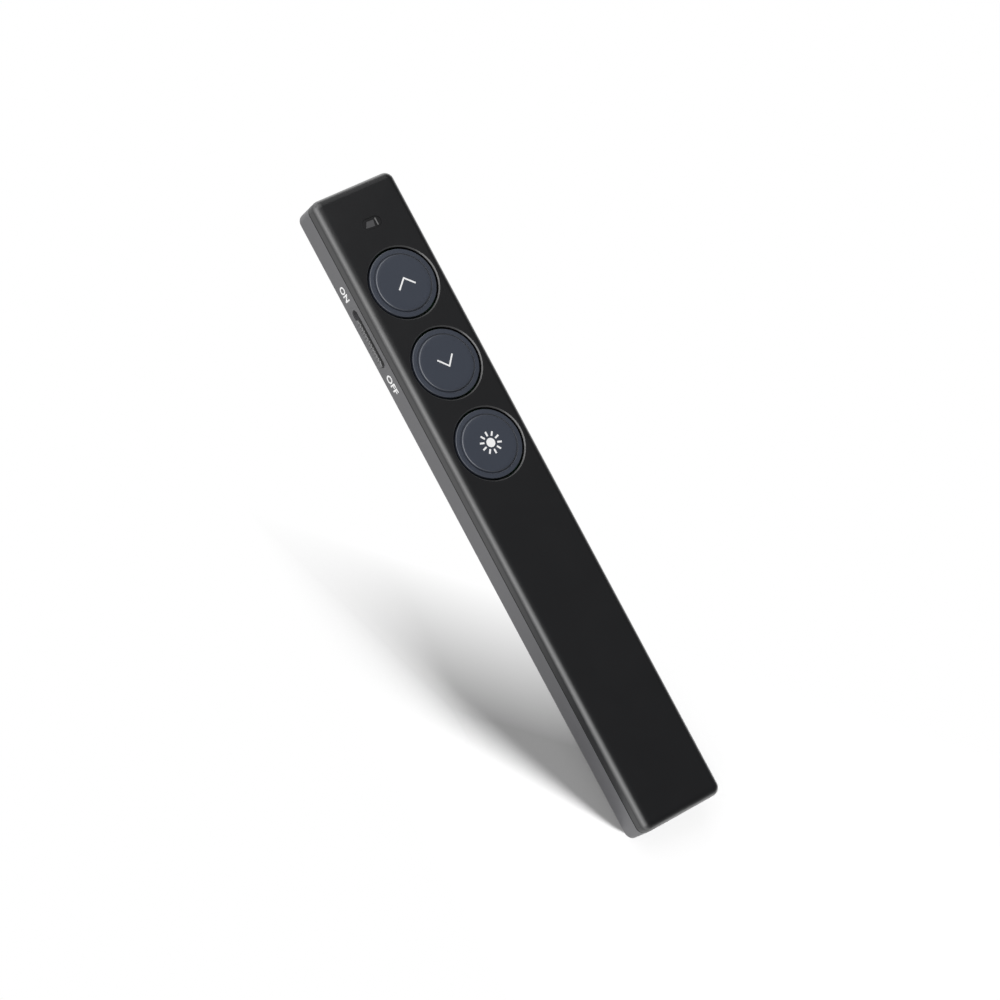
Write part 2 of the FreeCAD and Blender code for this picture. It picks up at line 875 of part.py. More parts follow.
def receiver_contacts():
    """Four gilded strips on the tongue."""
    solids = []
    low = receiver_z - plug_height / 2 + plug_wall + plug_tongue_thickness
    high_y = plug_front - 2 * plug_tongue_inset
    for i in range(contact_count):
        x = (i - (contact_count - 1) / 2) * contact_pitch
        xs = (x - contact_width / 2, x + contact_width / 2)
        solids.append(block(xs, (high_y - contact_length, high_y), (low, low + contact_thickness)))
    return Part.makeCompound(solids)


nodes = {
    "top_shell": top_shell(),
    "base_shell": base_shell(),
    "up_button": button_cap(button_ys[0]),
    "down_button": button_cap(button_ys[1]),
    "laser_button": button_cap(button_ys[2]),
    "up_switch_plunger": switch_plunger(button_ys[0]),
    "down_switch_plunger": switch_plunger(button_ys[1]),
    "laser_switch_plunger": switch_plunger(button_ys[2]),
    "switch_bodies": switch_bodies(),
    "switch_covers": switch_covers(),
    "power_slider": power_slider(),
    "slide_switch_lever": slide_switch_lever(),
    "slide_switch_body": slide_switch_body(),
    "slide_switch_cover": slide_switch_cover_plate(),
    "main_board": main_board(),
    "light_pipe": light_pipe(),
    "status_led": status_led(),
    "laser_window": laser_window(),
    "laser_barrel": laser_barrel(),
    "laser_lens": laser_lens(),
    "laser_diode": laser_diode(),
    "laser_pins": laser_pins(),
    "case_screws": case_screws(),
    "battery_cell": battery_cell(),
    "battery_tape": battery_tape(),
    "battery_foam": battery_foam(),
    "protection_board": protection_board(),
    "battery_leads": battery_leads(),
    "charging_socket_shell": charging_socket_shell(),
    "charging_socket_tongue": charging_socket_tongue(),
    "radio_controller": radio_controller(),
    "crystal": crystal(),
    "charging_controller": charging_controller(),
    "chip_antenna": chip_antenna(),
    "passives": passives(),
    "receiver_body": receiver_body(),
    "receiver_plug_shell": receiver_plug_shell(),
    "receiver_tongue": receiver_tongue(),
    "receiver_contacts": receiver_contacts(),
}

os.makedirs("parts", exist_ok=True)
for name, shape in nodes.items():
    shape.exportStep("parts/" + name + ".step")
    print(name, len(shape.Solids), "solids", round(shape.Volume, 2), "mm3", "valid", shape.isValid())
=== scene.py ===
import math
import bpy
import numpy as np
from mathutils import Matrix, Vector


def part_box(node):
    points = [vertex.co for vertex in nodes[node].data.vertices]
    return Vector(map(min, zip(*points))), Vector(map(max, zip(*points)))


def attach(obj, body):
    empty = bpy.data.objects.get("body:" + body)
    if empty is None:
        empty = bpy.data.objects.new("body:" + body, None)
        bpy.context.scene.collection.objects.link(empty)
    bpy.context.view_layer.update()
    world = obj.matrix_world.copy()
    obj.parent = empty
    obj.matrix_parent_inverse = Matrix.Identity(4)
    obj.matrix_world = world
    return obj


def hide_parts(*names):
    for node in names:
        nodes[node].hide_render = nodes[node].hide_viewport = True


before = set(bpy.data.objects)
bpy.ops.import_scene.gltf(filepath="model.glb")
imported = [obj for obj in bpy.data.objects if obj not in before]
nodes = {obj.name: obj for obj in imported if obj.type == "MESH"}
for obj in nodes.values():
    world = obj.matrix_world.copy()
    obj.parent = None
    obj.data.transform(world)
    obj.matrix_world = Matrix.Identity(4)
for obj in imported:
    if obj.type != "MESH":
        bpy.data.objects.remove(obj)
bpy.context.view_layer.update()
MM = 0.001


# Camera. A long lens looks down on the clicker from its left flank, turned so that the
# clicker runs from the top left of the picture to the bottom right.
lens_mm = 127.4
sensor_mm = 36.0
camera_place = Vector((-348.55, -44.88, 668.06)) * MM
camera_right = Vector((0.7950, -0.4702, 0.3833)).normalized()
camera_back = Vector((-0.4628, -0.0616, 0.8843)).normalized()


def add_object(name, data):
    """A new object in the scene that shows a camera, a lamp or a mesh."""
    added = bpy.data.objects.new(name, data)
    bpy.context.scene.collection.objects.link(added)
    return added


camera_data = bpy.data.cameras.new("camera")
camera_data.lens = lens_mm
camera_data.sensor_width = sensor_mm
camera_data.clip_start = 0.01
camera_data.clip_end = 20.0
camera = add_object("camera", camera_data)
camera_up = camera_back.cross(camera_right).normalized()
camera_right = camera_up.cross(camera_back)
camera_turn = Matrix((camera_right, camera_up, camera_back)).transposed().to_4x4()
camera.matrix_world = Matrix.Translation(camera_place) @ camera_turn
bpy.context.scene.camera = camera
bpy.context.scene.view_settings.view_transform = "Standard"


# Studio floor. A sheet of pale card that the clicker lies on. It glows white to the camera
# and in reflections, except in a band beside the clicker where the paper keeps the shadow.
# It is open from beneath, and to rays so short that they start in the gap under the case.
floor_reach = 0.6
floor_height = -0.00005
paper_grey = (0.16, 0.16, 0.16, 1)
white = (1, 1, 1, 1)
band_way = (0.675, 0.738, 0.0)
band_ends = (-0.046, -0.018)
band_glow = 0.08
far_left_ends = (-0.030, -0.052)
open_reach = 0.0009


def new_material(name):
    """An empty node material, its node tree and its output node."""
    material = bpy.data.materials.new(name)
    material.use_nodes = True
    material.node_tree.nodes.clear()
    out = material.node_tree.nodes.new("ShaderNodeOutputMaterial")
    return material, material.node_tree, out


def feed(tree, socket, value):
    """Links another node's output to a socket, or gives the socket a value of its own."""
    if isinstance(value, bpy.types.NodeSocket):
        tree.links.new(value, socket)
    else:
        socket.default_value = value


def calculate(tree, operation, *operands, clamp=False):
    """The output of a Math node. Each operand is a number or another node's output."""
    node = tree.nodes.new("ShaderNodeMath")
    node.operation = operation
    node.use_clamp = clamp
    for socket, operand in zip(node.inputs, operands):
        feed(tree, socket, operand)
    return node.outputs[0]


def ramp(tree, value, from_ends=(0.0, 1.0), to_ends=(0.0, 1.0)):
    """The output of a Map Range node: a value moved from one range to another, and held
    at its ends."""
    node = tree.nodes.new("ShaderNodeMapRange")
    feed(tree, node.inputs["Value"], value)
    for name, end in zip(("From Min", "From Max", "To Min", "To Max"), (*from_ends, *to_ends)):
        feed(tree, node.inputs[name], end)
    return node.outputs[0]


def mix(tree, share, first, second):
    """The output of a Mix Shader node: this share of the second shader, the rest the first."""
    node = tree.nodes.new("ShaderNodeMixShader")
    for socket, value in zip(node.inputs, (share, first, second)):
        feed(tree, socket, value)
    return node.outputs[0]


floor_corners = [(-floor_reach, -floor_reach, floor_height),
                 (floor_reach, -floor_reach, floor_height),
                 (floor_reach, floor_reach, floor_height),
                 (-floor_reach, floor_reach, floor_height)]
floor_mesh = bpy.data.meshes.new("floor")
floor_mesh.from_pydata(floor_corners, [], [(0, 1, 2, 3)])
floor = add_object("floor", floor_mesh)

card, tree, out = new_material("studio_card")
paper = tree.nodes.new("ShaderNodeBsdfDiffuse")
paper.inputs["Color"].default_value = paper_grey
glow = tree.nodes.new("ShaderNodeEmission")
glow.inputs["Color"].default_value = white
glow.inputs["Strength"].default_value = 1.0
clear = tree.nodes.new("ShaderNodeBsdfTransparent")
ray = tree.nodes.new("ShaderNodeLightPath")
facing = tree.nodes.new("ShaderNodeNewGeometry")
place = tree.nodes.new("ShaderNodeTexCoord")
along = tree.nodes.new("ShaderNodeVectorMath")
along.operation = "DOT_PRODUCT"
along.inputs[1].default_value = band_way
tree.links.new(place.outputs["Object"], along.inputs[0])
across = tree.nodes.new("ShaderNodeSeparateXYZ")
tree.links.new(place.outputs["Object"], across.inputs[0])
past_band = ramp(tree, along.outputs["Value"], band_ends, (band_glow, 1.0))
far_left = ramp(tree, across.outputs["X"], far_left_ends)
share = calculate(tree, "MAXIMUM", past_band, far_left)
seen = calculate(tree, "MAXIMUM", ray.outputs["Is Camera Ray"], ray.outputs["Is Glossy Ray"])
seen = calculate(tree, "MAXIMUM", seen, ray.outputs["Is Transmission Ray"])
level = calculate(tree, "MULTIPLY", share, seen)
both = mix(tree, level, paper.outputs[0], glow.outputs[0])
near = calculate(tree, "LESS_THAN", ray.outputs["Ray Length"], open_reach)
open_way = calculate(tree, "MAXIMUM", near, facing.outputs["Backfacing"])
tree.links.new(mix(tree, open_way, both, clear.outputs[0]), out.inputs["Surface"])
floor_mesh.materials.append(card)


# Studio light. A dim even sky, a large panel on the left that draws the bright line along
# the crowned edge, a high one ahead of the front end, one beneath for the underside, and
# a low sun behind the rear end that lights only the floor and lays the soft shadow on it.
sky_levels = (0.20, 1.0)
sun_way = Vector((0.49, -0.87, 0.115))
sun_strength = 145.0
sun_spread = math.radians(14)

world = bpy.data.worlds.new("studio")
bpy.context.scene.world = world
world.use_nodes = True
sky_tree = world.node_tree
sky_tree.nodes.clear()
sky = sky_tree.nodes.new("ShaderNodeBackground")
sky.inputs["Color"].default_value = white
sky_ray = sky_tree.nodes.new("ShaderNodeLightPath")
sky_level = ramp(sky_tree, sky_ray.outputs["Is Camera Ray"], to_ends=sky_levels)
sky_out = sky_tree.nodes.new("ShaderNodeOutputWorld")
sky_tree.links.new(sky_level, sky.inputs["Strength"])
sky_tree.links.new(sky.outputs[0], sky_out.inputs["Surface"])


def panel(name, place, aim, size, power):
    """A soft rectangular lamp at a place, turned towards a point, level along its width."""
    data = bpy.data.lights.new(name, "AREA")
    data.shape = "RECTANGLE"
    data.size, data.size_y = size
    data.energy = power
    lamp = add_object(name, data)
    lamp.location = place
    lamp.rotation_euler = (Vector(aim) - Vector(place)).to_track_quat("-Z", "Y").to_euler()


panel("left_panel", place=(-0.85, 0.05, 0.50), aim=(0, 0, 0.005), size=(1.6, 1.05), power=12.0)
panel("front_panel", place=(-0.10, 0.75, 0.75), aim=(0, 0, 0), size=(1.1, 1.1), power=8.5)
panel("under_panel", place=(0, 0, -0.8), aim=(0, 0, 0), size=(0.8, 0.8), power=5.0)

sun_data = bpy.data.lights.new("low_sun", "SUN")
sun_data.energy = sun_strength
sun_data.angle = sun_spread
low_sun = add_object("low_sun", sun_data)
low_sun.rotation_euler = sun_way.to_track_quat("Z", "Y").to_euler()
floor_only = bpy.data.collections.new("floor_only")
floor_only.objects.link(floor)
low_sun.light_linking.receiver_collection = floor_only


# Moulded plastic of the two case halves. Satin black above and a lighter charcoal below,
# with the fine even grain of a spark-eroded mould and slight handling marks.
def named_inputs(group, entries):
    """Adds float and colour inputs to a node group."""
    for name, kind, value in entries:
        socket = group.interface.new_socket(name, in_out="INPUT", socket_type=kind)
        socket.default_value = value


def build_grain_group():
    """Fine grain, soft smudges and a painted highlight. Noise at the grain's size gives height
    and slow noise gives the marks that handling leaves. The painted highlight is
    (z - z^3) / 0.385 cubed, with z the normal's height: none on level, upright and downward
    faces, most on the upward roundings, and made patchy by the slow noise."""
    smudge_scale = 90.0
    steepest = 0.385
    painted_sheen_power = 3.0
    painted_sheen_patches = (0.7, 1.3)
    group = bpy.data.node_groups.new("moulded_grain", "ShaderNodeTree")
    named_inputs(group, [
        ("Color", "NodeSocketColor", (0.1, 0.1, 0.1, 1)),
        ("Roughness", "NodeSocketFloat", 0.4),
        ("Grain size mm", "NodeSocketFloat", 0.2),
        ("Tone", "NodeSocketFloat", 0.05),
        ("Smudge", "NodeSocketFloat", 0.05),
        ("Sheen lift", "NodeSocketFloat", 0.02),
    ])
    for name, kind in (("Color", "NodeSocketColor"), ("Roughness", "NodeSocketFloat"),
                       ("Height", "NodeSocketFloat"), ("Painted sheen", "NodeSocketFloat")):
        group.interface.new_socket(name, in_out="OUTPUT", socket_type=kind)
    make = group.nodes.new
    link = group.links.new
    source = make("NodeGroupInput")
    result = make("NodeGroupOutput")
    place = make("ShaderNodeTexCoord")

    grain = make("ShaderNodeTexNoise")
    grain.inputs["Detail"].default_value = 3.0
    link(place.outputs["Object"], grain.inputs["Vector"])
    link(calculate(group, "DIVIDE", 1 / MM, source.outputs["Grain size mm"]), grain.inputs["Scale"])
    link(grain.outputs[0], result.inputs["Height"])
    smudge = make("ShaderNodeTexNoise")
    smudge.inputs["Scale"].default_value = smudge_scale
    smudge.inputs["Detail"].default_value = 4.0
    smudge.inputs["Distortion"].default_value = 0.6
    link(place.outputs["Object"], smudge.inputs["Vector"])

    # Painted highlight: a mask that is strongest on the upward roundings, where the lamps' highlight
    # falls, made patchy by the slow noise.
    normal = make("ShaderNodeSeparateXYZ")
    link(place.outputs["Normal"], normal.inputs[0])
    height = normal.outputs["Z"]
    squared = calculate(group, "MULTIPLY", height, height)
    rest = calculate(group, "SUBTRACT", 1.0, squared)
    slant = calculate(group, "MULTIPLY", height, rest)
    even = calculate(group, "DIVIDE", slant, steepest, clamp=True)
    sheen_on_roundings = calculate(group, "POWER", even, painted_sheen_power)
    patchy = ramp(group, smudge.outputs[0], to_ends=painted_sheen_patches)
    painted_sheen = calculate(group, "MULTIPLY", sheen_on_roundings, patchy, clamp=True)
    link(painted_sheen, result.inputs["Painted sheen"])

    darkest = calculate(group, "SUBTRACT", 1.0, source.outputs["Tone"])
    lightest = calculate(group, "ADD", 1.0, source.outputs["Tone"])
    tone = ramp(group, smudge.outputs[0], to_ends=(darkest, lightest))
    colour = make("ShaderNodeVectorMath")
    colour.operation = "SCALE"
    link(source.outputs["Color"], colour.inputs[0])
    link(tone, colour.inputs["Scale"])
    # Painted highlight: the mask times the sheen lift is added to the toned colour.
    colour_with_sheen = make("ShaderNodeVectorMath")
    colour_with_sheen.operation = "ADD"
    link(colour.outputs[0], colour_with_sheen.inputs[0])
    link(calculate(group, "MULTIPLY", painted_sheen, source.outputs["Sheen lift"]), colour_with_sheen.inputs[1])
    link(colour_with_sheen.outputs[0], result.inputs["Color"])

    centred = calculate(group, "SUBTRACT", smudge.outputs[0], 0.5)
    rough = calculate(group, "MULTIPLY_ADD", centred, source.outputs["Smudge"],
                      source.outputs["Roughness"])
    link(rough, result.inputs["Roughness"])
    return group


grain_group = build_grain_group()


def finish_material(name, colour, roughness, grain_mm, relief_mm, tone=0.05, smudge=0.08,
                    metallic=0.0, coat=0.0, transmission=0.0, sheen_lift=0.015, polish=0.15):
    """A Principled material whose colour, roughness and bump come from the grain group. The
    colour carries the group's painted highlight on the upward roundings, and a thin coat
    lies on the same roundings."""
    coat_roughness = 0.28
    material, tree, out = new_material(name)
    shader = tree.nodes.new("ShaderNodeBsdfPrincipled")
    grain = tree.nodes.new("ShaderNodeGroup")
    grain.node_tree = grain_group
    grain.inputs["Color"].default_value = (*colour, 1)
    grain.inputs["Roughness"].default_value = roughness
    grain.inputs["Grain size mm"].default_value = grain_mm
    grain.inputs["Tone"].default_value = tone
    grain.inputs["Smudge"].default_value = smudge
    # Painted highlight: this much colour is added on the upward roundings of every material.
    grain.inputs["Sheen lift"].default_value = sheen_lift
    bump = tree.nodes.new("ShaderNodeBump")
    bump.inputs["Strength"].default_value = 1.0
    bump.inputs["Distance"].default_value = relief_mm * MM
    tree.links.new(grain.outputs["Height"], bump.inputs["Height"])
    tree.links.new(grain.outputs["Color"], shader.inputs["Base Color"])
    tree.links.new(grain.outputs["Roughness"], shader.inputs["Roughness"])
    tree.links.new(bump.outputs["Normal"], shader.inputs["Normal"])
    bright = calculate(tree, "MULTIPLY_ADD", grain.outputs["Painted sheen"], polish, coat, clamp=True)
    tree.links.new(bright, shader.inputs["Coat Weight"])
    shader.inputs["Coat Roughness"].default_value = coat_roughness
    shader.inputs["Metallic"].default_value = metallic
    shader.inputs["Transmission Weight"].default_value = transmission
    tree.links.new(shader.outputs[0], out.inputs["Surface"])
    return material


def build_smoothing():
    """Joins a node's loose triangles and shades it smooth up to its sharp edges."""
    join_reach = 0.0005 * MM
    sharp_angle = math.radians(28)
    group = bpy.data.node_groups.new("moulded_surface", "GeometryNodeTree")
    group.interface.new_socket("Geometry", in_out="INPUT", socket_type="NodeSocketGeometry")
    group.interface.new_socket("Geometry", in_out="OUTPUT", socket_type="NodeSocketGeometry")
    make = group.nodes.new
    link = group.links.new
    source = make("NodeGroupInput")
    result = make("NodeGroupOutput")
    merge = make("GeometryNodeMergeByDistance")
    merge.inputs["Distance"].default_value = join_reach
    smooth = make("GeometryNodeSetShadeSmooth")
    smooth.domain = "FACE"
    sharp = make("GeometryNodeSetShadeSmooth")
    sharp.domain = "EDGE"
    sharp.inputs["Shade Smooth"].default_value = False
    angle = make("GeometryNodeInputMeshEdgeAngle")
    steep = make("FunctionNodeCompare")
    steep.data_type = "FLOAT"
    steep.operation = "GREATER_THAN"
    steep.inputs[1].default_value = sharp_angle
    link(source.outputs[0], merge.inputs[0])
    link(merge.outputs[0], smooth.inputs[0])
    link(smooth.outputs[0], sharp.inputs[0])
    link(angle.outputs[0], steep.inputs[0])
    link(steep.outputs[0], sharp.inputs["Selection"])
    link(sharp.outputs[0], result.inputs[0])
    return group


smoothing = build_smoothing()


def join_surface(piece):
    """Smooth shading up to the sharp edges, led by the flat faces."""
    surface = piece.modifiers.new("moulded_surface", "NODES")
    surface.node_group = smoothing
    weight = piece.modifiers.new("flat_faces_lead", "WEIGHTED_NORMAL")
    weight.keep_sharp = True


def dress(material, *names):
    """Gives CAD nodes a material and a joined, smooth shaded surface."""
    for name in names:
        node = nodes[name]
        for slot in node.material_slots:
            slot.material = material
        join_surface(node)


# Painted highlight on the upward roundings of both halves, strongest along the black top's crowned
# edges.
upper_plastic = finish_material(
    "upper_case_satin_black", (0.0050, 0.0052, 0.0062), roughness=0.36,
    grain_mm=0.16, relief_mm=0.003, sheen_lift=0.06, polish=1.0)
lower_plastic = finish_material(
    "lower_case_charcoal", (0.088, 0.088, 0.093), roughness=0.42,
    grain_mm=0.16, relief_mm=0.006, sheen_lift=0.04, polish=0.5)
dress(upper_plastic, "top_shell")
dress(lower_plastic, "base_shell")


# Joint line. A thin band of matt black lies where the two case halves meet and shows as a
# dark line all round. It is painted shade, put where the groove between the halves lies in shadow.
def box_mm(node):
    """A CAD node's lowest and highest corner in millimetres, to a ten-thousandth."""
    return [np.round(np.array(corner) / MM, 4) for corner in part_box(node)]


half_width, half_length = box_mm("base_shell")[1][:2]
case_corner = 2.0
shade_band_low = 6.20
shade_band_high = 6.48
shade_band_stand = 0.012
shade_band_depth = 0.3


def outline_points(half_x, half_y, radius, steps=10):
    """A rounded rectangle, anticlockwise. Corner k is a quarter circle that starts k
    quarter turns on, about a centre that lies one radius in from both of its sides."""
    angle = (np.arange(4)[:, None] + np.linspace(0, 1, steps + 1)[None, :]) * np.pi / 2
    side_x = np.array([1, -1, -1, 1])[:, None]
    side_y = np.array([1, 1, -1, -1])[:, None]
    x = side_x * (half_x - radius) + radius * np.cos(angle)
    y = side_y * (half_y - radius) + radius * np.sin(angle)
    return np.stack([x, y], axis=-1).reshape(-1, 2)


def new_piece(name, points, faces, material):
    """An object with a mesh of points in millimetres, its faces and its material."""
    mesh = bpy.data.meshes.new(name)
    mesh.from_pydata((np.asarray(points) * MM).tolist(), [], faces)
    mesh.materials.append(material)
    return add_object(name, mesh)


def carried(name, rings, material):
    """A closed band: ring j is one outline at one height, quads join each ring to the
    next, and the last ring is joined to the first."""
    count = len(rings[0])
    levels = len(rings)
    i = np.arange(count)[None, :]
    j = np.arange(levels)[:, None]
    right = (i + 1) % count
    up = (j + 1) % levels
    corners = [j * count + i, j * count + right, up * count + right, up * count + i]
    quads = np.stack(corners, axis=-1).reshape(-1, 4)
    return new_piece(name, np.vstack(rings), quads.tolist(), material)


shade_band_rings = []
for inset, height in ((-shade_band_stand, shade_band_low), (-shade_band_stand, shade_band_high),
                      (shade_band_depth, shade_band_high), (shade_band_depth, shade_band_low)):
    flat = outline_points(half_width - inset, half_length - inset, case_corner - inset)
    shade_band_rings.append(np.column_stack([flat, np.full(len(flat), height)]))
painted_shade_black = finish_material(
    "painted_shade_matt_black", (0.006, 0.006, 0.006), roughness=0.85, grain_mm=0.1, relief_mm=0.002)
# Painted shade: the black band along the joint stands for the groove's shadow.
shade_band = carried("joint_shade_band", shade_band_rings, painted_shade_black)
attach(shade_band, "handset")


# Button caps. Each is a turned form: a flange ring that falls to a groove, then a flat
# disc with a softly rounded rim. Moulded in slate blue-grey plastic with a satin face.
case_face = box_mm("top_shell")[1][2]
disc_top = box_mm("up_button")[1][2]
cap_radius = 7.6
cap_bottom = 7.8
hollow_radius = 6.6
hollow_top = 8.2
flange_top = case_face - 0.10
flange_round = 0.14
flange_inner = 6.62
groove_floor = case_face - 0.34
groove_outer = 6.46
groove_inner = 6.34
disc_round = 0.28
disc_round_middle = 6.0
disc_flat = 5.2


def middle_of(node):
    """The middle of a CAD node's box, in millimetres."""
    return sum(box_mm(node)) / 2


def turned(name, profile, centre, material, sides=192):
    """A closed surface of revolution. Point (i, j) is profile point j turned by angle
    2 pi i / sides about the vertical line through the centre, and both ends are poles."""
    angle = np.linspace(0, 2 * np.pi, sides, endpoint=False)[:, None]
    ring = profile[1:-1]
    x = centre[0] + np.cos(angle) * ring[None, :, 0]
    y = centre[1] + np.sin(angle) * ring[None, :, 0]
    z = np.broadcast_to(ring[None, :, 1], x.shape)
    points = np.stack([x, y, z], axis=-1).reshape(-1, 3)
    poles = np.array([[*centre, profile[0, 1]], [*centre, profile[-1, 1]]])
    rings = len(ring)
    i = np.arange(sides)[:, None]
    j = np.arange(rings - 1)[None, :]
    near = i * rings + j
    far = ((i + 1) % sides) * rings + j
    quads = np.stack([near, far, far + 1, near + 1], axis=-1).reshape(-1, 4)
    low = np.arange(sides) * rings
    high = low + rings - 1
    low_pole = np.full(sides, sides * rings)
    low_fan = np.stack([np.roll(low, -1), low, low_pole], axis=-1)
    high_fan = np.stack([high, np.roll(high, -1), low_pole + 1], axis=-1)
    faces = quads.tolist() + low_fan.tolist() + high_fan.tolist()
    piece = new_piece(name, np.vstack([points, poles]), faces, material)
    piece.data.shade_smooth()
    return piece


def arc(centre, radius, start, end, count=7):
    """Points (radius cos a, radius sin a) about a centre, with a in even steps between
    two angles in degrees."""
    angle = np.radians(np.linspace(start, end, count))
    return np.array(centre) + radius * np.column_stack([np.cos(angle), np.sin(angle)])


cap_profile = np.vstack([
    [(0, hollow_top), (hollow_radius, hollow_top), (hollow_radius, cap_bottom)],
    [(cap_radius, cap_bottom)],
    arc((cap_radius - flange_round, flange_top - flange_round), flange_round, 0, 90),
    [(flange_inner, flange_top), (groove_outer, groove_floor), (groove_inner, groove_floor)],
    arc((disc_round_middle, disc_top - disc_round), disc_round, 4, 90, count=9),
    [(disc_flat, disc_top), (0, disc_top)],
])
# Painted highlight on the upward rims of the flange and the disc.
button_slate = finish_material(
    "button_slate", (0.039, 0.046, 0.063), roughness=0.32,
    grain_mm=0.14, relief_mm=0.003, tone=0.03, sheen_lift=0.06, polish=1.0)
cap_centres = {body: np.array([0.0, middle_of(body)[1]])
               for body in ("up_button", "down_button", "laser_button")}
for body, centre in cap_centres.items():
    cap = turned(body + "_cap", cap_profile, centre, button_slate)
    join_surface(cap)
    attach(cap, body)
    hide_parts(body)


# Printed marks. White ink pads on the discs, two chevrons and a sun, and ON and OFF on
# the left flank. Each is a film a few hundredths of a millimetre thick.
film_half = 0.02
stroke = 0.34
sun_centre = cap_centres["laser_button"] + np.array([0.24, 0.0])
sun_radius = 1.02
sun_corners = 40
ray_count = 10
first_ray = math.radians(18)
ray_half_width = 0.2
ray_start = 1.5
ray_end = 2.55
white_ink = finish_material(
    "white_ink", (0.86, 0.86, 0.86), roughness=0.55, grain_mm=0.10, relief_mm=0.002, tone=0.03)


def film(name, outlines, body, face, material, lift=film_half):
    """Closed flat plates on a level face. Each outline is a loop of (x, y) corners,
    anticlockwise, and becomes a prism from just under the face to a lift above it."""
    points = []
    faces = []
    first = 0
    for outline in outlines:
        count = len(outline)
        low = first + np.arange(count)
        high = low + count
        for height in (face - film_half, face + lift):
            points.append(np.column_stack([outline, np.full(count, height)]))
        sides = np.stack([low, np.roll(low, -1), np.roll(high, -1), high], axis=-1)
        faces += [high.tolist(), low[::-1].tolist(), *sides.tolist()]
        first += 2 * count
    piece = new_piece(name, np.vstack(points), faces, material)
    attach(piece, body)


def chevron(centre, start, tip, end):
    """Two strokes that meet in a mitre at the tip, all placed from a centre. Each outline
    has a stroke's width at its free end and the mitre's two corners at the tip."""
    start, tip, end = (centre + np.array(offset) for offset in (start, tip, end))
    half = stroke / 2
    ways = [(b - a) / np.linalg.norm(b - a) for a, b in ((start, tip), (tip, end))]
    normals = [np.array([-way[1], way[0]]) for way in ways]
    middle = normals[0] + normals[1]
    middle /= np.linalg.norm(middle)
    mitre = middle * half / normals[0].dot(middle)
    return [
        [start - normals[0] * half, tip - mitre, tip + mitre, start + normals[0] * half],
        [tip - mitre, end - normals[1] * half, end + normals[1] * half, tip + mitre],
    ]


up_chevron = chevron(cap_centres["up_button"], (-1.85, -1.20), (0.40, 0.85), (2.40, -1.15))
down_chevron = chevron(cap_centres["down_button"], (-1.80, 1.25), (0.18, -0.90), (2.10, 1.25))
film("up_mark", up_chevron, "up_button", disc_top, white_ink)
film("down_mark", down_chevron, "down_button", disc_top, white_ink)
round_way = np.linspace(0, 2 * np.pi, sun_corners, endpoint=False)
sun = [sun_centre + sun_radius * np.column_stack([np.cos(round_way), np.sin(round_way)])]
for angle in np.linspace(0, 2 * np.pi, ray_count, endpoint=False) + first_ray:
    out_way = np.array([math.cos(angle), math.sin(angle)])
    side_way = np.array([-out_way[1], out_way[0]]) * ray_half_width
    start = sun_centre + out_way * ray_start
    end = sun_centre + out_way * ray_end
    sun.append([start - side_way, end - side_way, end + side_way, start + side_way])
film("sun_mark", sun, "laser_button", disc_top, white_ink)


def flank_word(text, middle_y, middle_z, run, cap_height):
    """A word on the left flank, made a mesh and set upright, reading towards the rear.
    Its width becomes the run along y, its height the capitals' height along z."""
    letter_depth = 0.01
    letter_weight = 0.028
    letter_spacing = 1.04
    curve = bpy.data.curves.new(text.lower() + "_word", "FONT")
    curve.body = text
    curve.align_x = "CENTER"
    curve.size = 1.0
    curve.offset = letter_weight
    curve.extrude = letter_depth
    curve.space_character = letter_spacing
    word = add_object(text.lower() + "_source", curve)
    bpy.context.view_layer.update()
    evaluated = word.evaluated_get(bpy.context.evaluated_depsgraph_get())
    mesh = bpy.data.meshes.new_from_object(evaluated)
    bpy.data.objects.remove(word)
    flat = np.empty(len(mesh.vertices) * 3)
    mesh.vertices.foreach_get("co", flat)
    flat = flat.reshape(-1, 3)
    spans = flat.max(axis=0) - flat.min(axis=0)
    centre = (flat.max(axis=0) + flat.min(axis=0)) / 2
    placed = np.empty_like(flat)
    placed[:, 0] = -half_width - (flat[:, 2] - centre[2]) * film_half / letter_depth
    placed[:, 1] = middle_y - (flat[:, 0] - centre[0]) * run / spans[0]
    placed[:, 2] = middle_z + (flat[:, 1] - centre[1]) * cap_height / spans[1]
    mesh.vertices.foreach_set("co", (placed * MM).ravel())
    mesh.update()
    mesh.materials.clear()
    mesh.materials.append(white_ink)
    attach(add_object(text.lower() + "_word", mesh), "handset")


flank_word("ON", middle_y=55.20, middle_z=3.40, run=3.5, cap_height=2.1)
flank_word("OFF", middle_y=33.45, middle_z=3.35, run=4.4, cap_height=2.1)


# Power slider. The charcoal knob fills the slot, and a ribbed grip of the same moulding
# stands a little proud of the flank for the thumb. A thin black strip above it is painted
# shade, put where the slot's upper gap lies in shadow.
knob_middle = middle_of("power_slider")[1]
grip_length = 11.4
grip_low = knob_middle - grip_length / 2
grip_high = knob_middle + grip_length / 2
grip_middle = 3.17
grip_half = 0.70
grip_root = -10.2
grip_face = -10.80
grip_edge = 0.12
grip_tip_half = 0.02
rib_count = 12
rib_depth = 0.16
rib_land = 0.8
groove_mouth_half = 0.20
groove_floor_half = 0.13
shade_strip_back = -10.25
shade_strip_front = -10.43
shade_strip_low = 3.80
shade_strip_high = 4.52
shade_strip_low_half = 5.8
shade_strip_high_half = 5.5
# Painted highlight on the upward roundings of the knob and the grip.
slider_plastic = finish_material(
    "slider_charcoal", (0.095, 0.095, 0.098), roughness=0.42,
    grain_mm=0.12, relief_mm=0.004, sheen_lift=0.08, polish=0.5)
dress(slider_plastic, "power_slider")


